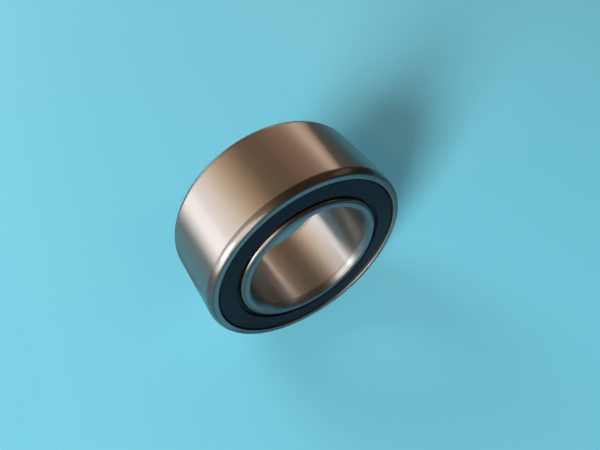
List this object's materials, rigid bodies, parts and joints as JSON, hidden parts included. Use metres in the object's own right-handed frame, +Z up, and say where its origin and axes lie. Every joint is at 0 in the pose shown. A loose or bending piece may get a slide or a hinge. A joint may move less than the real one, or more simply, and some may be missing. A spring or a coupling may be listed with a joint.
{
  "type": "angular contact bearing",
  "caption": "Wide double-row angular contact ball bearing: ground steel rings with rounded corners, a flat dark rubber seal recessed in each side, and an inner ring that turns on caged balls.",
  "frame": {"origin": "centre of the bearing, on its axis and midway between its faces", "axes": "+Y along the axis of rotation, from the pictured front face (at -Y) to the rear face; +Z up, with the bearing standing on its rim as in the picture; +X to the right seen from the front"},
  "size_m": [0.05, 0.02, 0.05],
  "materials": {
    "ring_steel": "satin",
    "seal_rubber": "matte",
    "insert_steel": "satin",
    "cage_polyamide": "satin",
    "ball_steel": "polished"
  },
  "bodies": {
    "outer": {"outer_ring": "ring_steel", "front_seal": "seal_rubber", "rear_seal": "seal_rubber", "front_seal_insert": "insert_steel", "rear_seal_insert": "insert_steel"},
    "inner": {"inner_ring": "ring_steel"},
    "front_cage": {"front_cage": "cage_polyamide"},
    "front_ball_01": {"front_ball_01": "ball_steel"},
    "front_ball_02": {"front_ball_02": "ball_steel"},
    "front_ball_03": {"front_ball_03": "ball_steel"},
    "front_ball_04": {"front_ball_04": "ball_steel"},
    "front_ball_05": {"front_ball_05": "ball_steel"},
    "front_ball_06": {"front_ball_06": "ball_steel"},
    "front_ball_07": {"front_ball_07": "ball_steel"},
    "front_ball_08": {"front_ball_08": "ball_steel"},
    "front_ball_09": {"front_ball_09": "ball_steel"},
    "front_ball_10": {"front_ball_10": "ball_steel"},
    "front_ball_11": {"front_ball_11": "ball_steel"},
    "front_ball_12": {"front_ball_12": "ball_steel"},
    "front_ball_13": {"front_ball_13": "ball_steel"},
    "front_ball_14": {"front_ball_14": "ball_steel"},
    "front_ball_15": {"front_ball_15": "ball_steel"},
    "rear_cage": {"rear_cage": "cage_polyamide"},
    "rear_ball_01": {"rear_ball_01": "ball_steel"},
    "rear_ball_02": {"rear_ball_02": "ball_steel"},
    "rear_ball_03": {"rear_ball_03": "ball_steel"},
    "rear_ball_04": {"rear_ball_04": "ball_steel"},
    "rear_ball_05": {"rear_ball_05": "ball_steel"},
    "rear_ball_06": {"rear_ball_06": "ball_steel"},
    "rear_ball_07": {"rear_ball_07": "ball_steel"},
    "rear_ball_08": {"rear_ball_08": "ball_steel"},
    "rear_ball_09": {"rear_ball_09": "ball_steel"},
    "rear_ball_10": {"rear_ball_10": "ball_steel"},
    "rear_ball_11": {"rear_ball_11": "ball_steel"},
    "rear_ball_12": {"rear_ball_12": "ball_steel"},
    "rear_ball_13": {"rear_ball_13": "ball_steel"},
    "rear_ball_14": {"rear_ball_14": "ball_steel"},
    "rear_ball_15": {"rear_ball_15": "ball_steel"}
  },
  "joints": [
    {"name": "inner_spin", "type": "hinge", "parent": "outer", "child": "inner", "pos_m": [0, 0, 0], "axis": [0, 1, 0], "continuous": true},
    {"name": "front_cage_turn", "type": "hinge", "parent": "outer", "child": "front_cage", "pos_m": [0, -0.0036, 0], "axis": [0, 1, 0], "continuous": true},
    {"name": "front_ball_01_roll", "type": "hinge", "parent": "front_cage", "child": "front_ball_01", "pos_m": [0.02, -0.0036, 0], "axis": [-0.4226, 0.9063, 0], "continuous": true},
    {"name": "front_ball_02_roll", "type": "hinge", "parent": "front_cage", "child": "front_ball_02", "pos_m": [0.01827, -0.0036, -0.00813], "axis": [-0.3861, 0.9063, 0.1719], "continuous": true},
    {"name": "front_ball_03_roll", "type": "hinge", "parent": "front_cage", "child": "front_ball_03", "pos_m": [0.01338, -0.0036, -0.01486], "axis": [-0.2828, 0.9063, 0.3141], "continuous": true},
    {"name": "front_ball_04_roll", "type": "hinge", "parent": "front_cage", "child": "front_ball_04", "pos_m": [0.00618, -0.0036, -0.01902], "axis": [-0.1306, 0.9063, 0.4019], "continuous": true},
    {"name": "front_ball_05_roll", "type": "hinge", "parent": "front_cage", "child": "front_ball_05", "pos_m": [-0.00209, -0.0036, -0.01989], "axis": [0.0442, 0.9063, 0.4203], "continuous": true},
    {"name": "front_ball_06_roll", "type": "hinge", "parent": "front_cage", "child": "front_ball_06", "pos_m": [-0.01, -0.0036, -0.01732], "axis": [0.2113, 0.9063, 0.366], "continuous": true},
    {"name": "front_ball_07_roll", "type": "hinge", "parent": "front_cage", "child": "front_ball_07", "pos_m": [-0.01618, -0.0036, -0.01176], "axis": [0.3419, 0.9063, 0.2484], "continuous": true},
    {"name": "front_ball_08_roll", "type": "hinge", "parent": "front_cage", "child": "front_ball_08", "pos_m": [-0.01956, -0.0036, -0.00416], "axis": [0.4134, 0.9063, 0.0879], "continuous": true},
    {"name": "front_ball_09_roll", "type": "hinge", "parent": "front_cage", "child": "front_ball_09", "pos_m": [-0.01956, -0.0036, 0.00416], "axis": [0.4134, 0.9063, -0.0879], "continuous": true},
    {"name": "front_ball_10_roll", "type": "hinge", "parent": "front_cage", "child": "front_ball_10", "pos_m": [-0.01618, -0.0036, 0.01176], "axis": [0.3419, 0.9063, -0.2484], "continuous": true},
    {"name": "front_ball_11_roll", "type": "hinge", "parent": "front_cage", "child": "front_ball_11", "pos_m": [-0.01, -0.0036, 0.01732], "axis": [0.2113, 0.9063, -0.366], "continuous": true},
    {"name": "front_ball_12_roll", "type": "hinge", "parent": "front_cage", "child": "front_ball_12", "pos_m": [-0.00209, -0.0036, 0.01989], "axis": [0.0442, 0.9063, -0.4203], "continuous": true},
    {"name": "front_ball_13_roll", "type": "hinge", "parent": "front_cage", "child": "front_ball_13", "pos_m": [0.00618, -0.0036, 0.01902], "axis": [-0.1306, 0.9063, -0.4019], "continuous": true},
    {"name": "front_ball_14_roll", "type": "hinge", "parent": "front_cage", "child": "front_ball_14", "pos_m": [0.01338, -0.0036, 0.01486], "axis": [-0.2828, 0.9063, -0.3141], "continuous": true},
    {"name": "front_ball_15_roll", "type": "hinge", "parent": "front_cage", "child": "front_ball_15", "pos_m": [0.01827, -0.0036, 0.00813], "axis": [-0.3861, 0.9063, -0.1719], "continuous": true},
    {"name": "rear_cage_turn", "type": "hinge", "parent": "outer", "child": "rear_cage", "pos_m": [0, 0.0036, 0], "axis": [0, 1, 0], "continuous": true},
    {"name": "rear_ball_01_roll", "type": "hinge", "parent": "rear_cage", "child": "rear_ball_01", "pos_m": [0.01956, 0.0036, -0.00416], "axis": [0.4134, 0.9063, -0.0879], "continuous": true},
    {"name": "rear_ball_02_roll", "type": "hinge", "parent": "rear_cage", "child": "rear_ball_02", "pos_m": [0.01618, 0.0036, -0.01176], "axis": [0.3419, 0.9063, -0.2484], "continuous": true},
    {"name": "rear_ball_03_roll", "type": "hinge", "parent": "rear_cage", "child": "rear_ball_03", "pos_m": [0.01, 0.0036, -0.01732], "axis": [0.2113, 0.9063, -0.366], "continuous": true},
    {"name": "rear_ball_04_roll", "type": "hinge", "parent": "rear_cage", "child": "rear_ball_04", "pos_m": [0.00209, 0.0036, -0.01989], "axis": [0.0442, 0.9063, -0.4203], "continuous": true},
    {"name": "rear_ball_05_roll", "type": "hinge", "parent": "rear_cage", "child": "rear_ball_05", "pos_m": [-0.00618, 0.0036, -0.01902], "axis": [-0.1306, 0.9063, -0.4019], "continuous": true},
    {"name": "rear_ball_06_roll", "type": "hinge", "parent": "rear_cage", "child": "rear_ball_06", "pos_m": [-0.01338, 0.0036, -0.01486], "axis": [-0.2828, 0.9063, -0.3141], "continuous": true},
    {"name": "rear_ball_07_roll", "type": "hinge", "parent": "rear_cage", "child": "rear_ball_07", "pos_m": [-0.01827, 0.0036, -0.00813], "axis": [-0.3861, 0.9063, -0.1719], "continuous": true},
    {"name": "rear_ball_08_roll", "type": "hinge", "parent": "rear_cage", "child": "rear_ball_08", "pos_m": [-0.02, 0.0036, 0], "axis": [-0.4226, 0.9063, 0], "continuous": true},
    {"name": "rear_ball_09_roll", "type": "hinge", "parent": "rear_cage", "child": "rear_ball_09", "pos_m": [-0.01827, 0.0036, 0.00813], "axis": [-0.3861, 0.9063, 0.1719], "continuous": true},
    {"name": "rear_ball_10_roll", "type": "hinge", "parent": "rear_cage", "child": "rear_ball_10", "pos_m": [-0.01338, 0.0036, 0.01486], "axis": [-0.2828, 0.9063, 0.3141], "continuous": true},
    {"name": "rear_ball_11_roll", "type": "hinge", "parent": "rear_cage", "child": "rear_ball_11", "pos_m": [-0.00618, 0.0036, 0.01902], "axis": [-0.1306, 0.9063, 0.4019], "continuous": true},
    {"name": "rear_ball_12_roll", "type": "hinge", "parent": "rear_cage", "child": "rear_ball_12", "pos_m": [0.00209, 0.0036, 0.01989], "axis": [0.0442, 0.9063, 0.4203], "continuous": true},
    {"name": "rear_ball_13_roll", "type": "hinge", "parent": "rear_cage", "child": "rear_ball_13", "pos_m": [0.01, 0.0036, 0.01732], "axis": [0.2113, 0.9063, 0.366], "continuous": true},
    {"name": "rear_ball_14_roll", "type": "hinge", "parent": "rear_cage", "child": "rear_ball_14", "pos_m": [0.01618, 0.0036, 0.01176], "axis": [0.3419, 0.9063, 0.2484], "continuous": true},
    {"name": "rear_ball_15_roll", "type": "hinge", "parent": "rear_cage", "child": "rear_ball_15", "pos_m": [0.01956, 0.0036, 0.00416], "axis": [0.4134, 0.9063, 0.0879], "continuous": true}
  ],
  "couplings": [
    {"joint": "front_cage_turn", "follows": "inner_spin", "ratio": 0.43706},
    {"joint": "front_ball_01_roll", "follows": "inner_spin", "ratio": -3.5427},
    {"joint": "front_ball_02_roll", "follows": "inner_spin", "ratio": -3.5427},
    {"joint": "front_ball_03_roll", "follows": "inner_spin", "ratio": -3.5427},
    {"joint": "front_ball_04_roll", "follows": "inner_spin", "ratio": -3.5427},
    {"joint": "front_ball_05_roll", "follows": "inner_spin", "ratio": -3.5427},
    {"joint": "front_ball_06_roll", "follows": "inner_spin", "ratio": -3.5427},
    {"joint": "front_ball_07_roll", "follows": "inner_spin", "ratio": -3.5427},
    {"joint": "front_ball_08_roll", "follows": "inner_spin", "ratio": -3.5427},
    {"joint": "front_ball_09_roll", "follows": "inner_spin", "ratio": -3.5427},
    {"joint": "front_ball_10_roll", "follows": "inner_spin", "ratio": -3.5427},
    {"joint": "front_ball_11_roll", "follows": "inner_spin", "ratio": -3.5427},
    {"joint": "front_ball_12_roll", "follows": "inner_spin", "ratio": -3.5427},
    {"joint": "front_ball_13_roll", "follows": "inner_spin", "ratio": -3.5427},
    {"joint": "front_ball_14_roll", "follows": "inner_spin", "ratio": -3.5427},
    {"joint": "front_ball_15_roll", "follows": "inner_spin", "ratio": -3.5427},
    {"joint": "rear_cage_turn", "follows": "inner_spin", "ratio": 0.43706},
    {"joint": "rear_ball_01_roll", "follows": "inner_spin", "ratio": -3.5427},
    {"joint": "rear_ball_02_roll", "follows": "inner_spin", "ratio": -3.5427},
    {"joint": "rear_ball_03_roll", "follows": "inner_spin", "ratio": -3.5427},
    {"joint": "rear_ball_04_roll", "follows": "inner_spin", "ratio": -3.5427},
    {"joint": "rear_ball_05_roll", "follows": "inner_spin", "ratio": -3.5427},
    {"joint": "rear_ball_06_roll", "follows": "inner_spin", "ratio": -3.5427},
    {"joint": "rear_ball_07_roll", "follows": "inner_spin", "ratio": -3.5427},
    {"joint": "rear_ball_08_roll", "follows": "inner_spin", "ratio": -3.5427},
    {"joint": "rear_ball_09_roll", "follows": "inner_spin", "ratio": -3.5427},
    {"joint": "rear_ball_10_roll", "follows": "inner_spin", "ratio": -3.5427},
    {"joint": "rear_ball_11_roll", "follows": "inner_spin", "ratio": -3.5427},
    {"joint": "rear_ball_12_roll", "follows": "inner_spin", "ratio": -3.5427},
    {"joint": "rear_ball_13_roll", "follows": "inner_spin", "ratio": -3.5427},
    {"joint": "rear_ball_14_roll", "follows": "inner_spin", "ratio": -3.5427},
    {"joint": "rear_ball_15_roll", "follows": "inner_spin", "ratio": -3.5427}
  ]
}
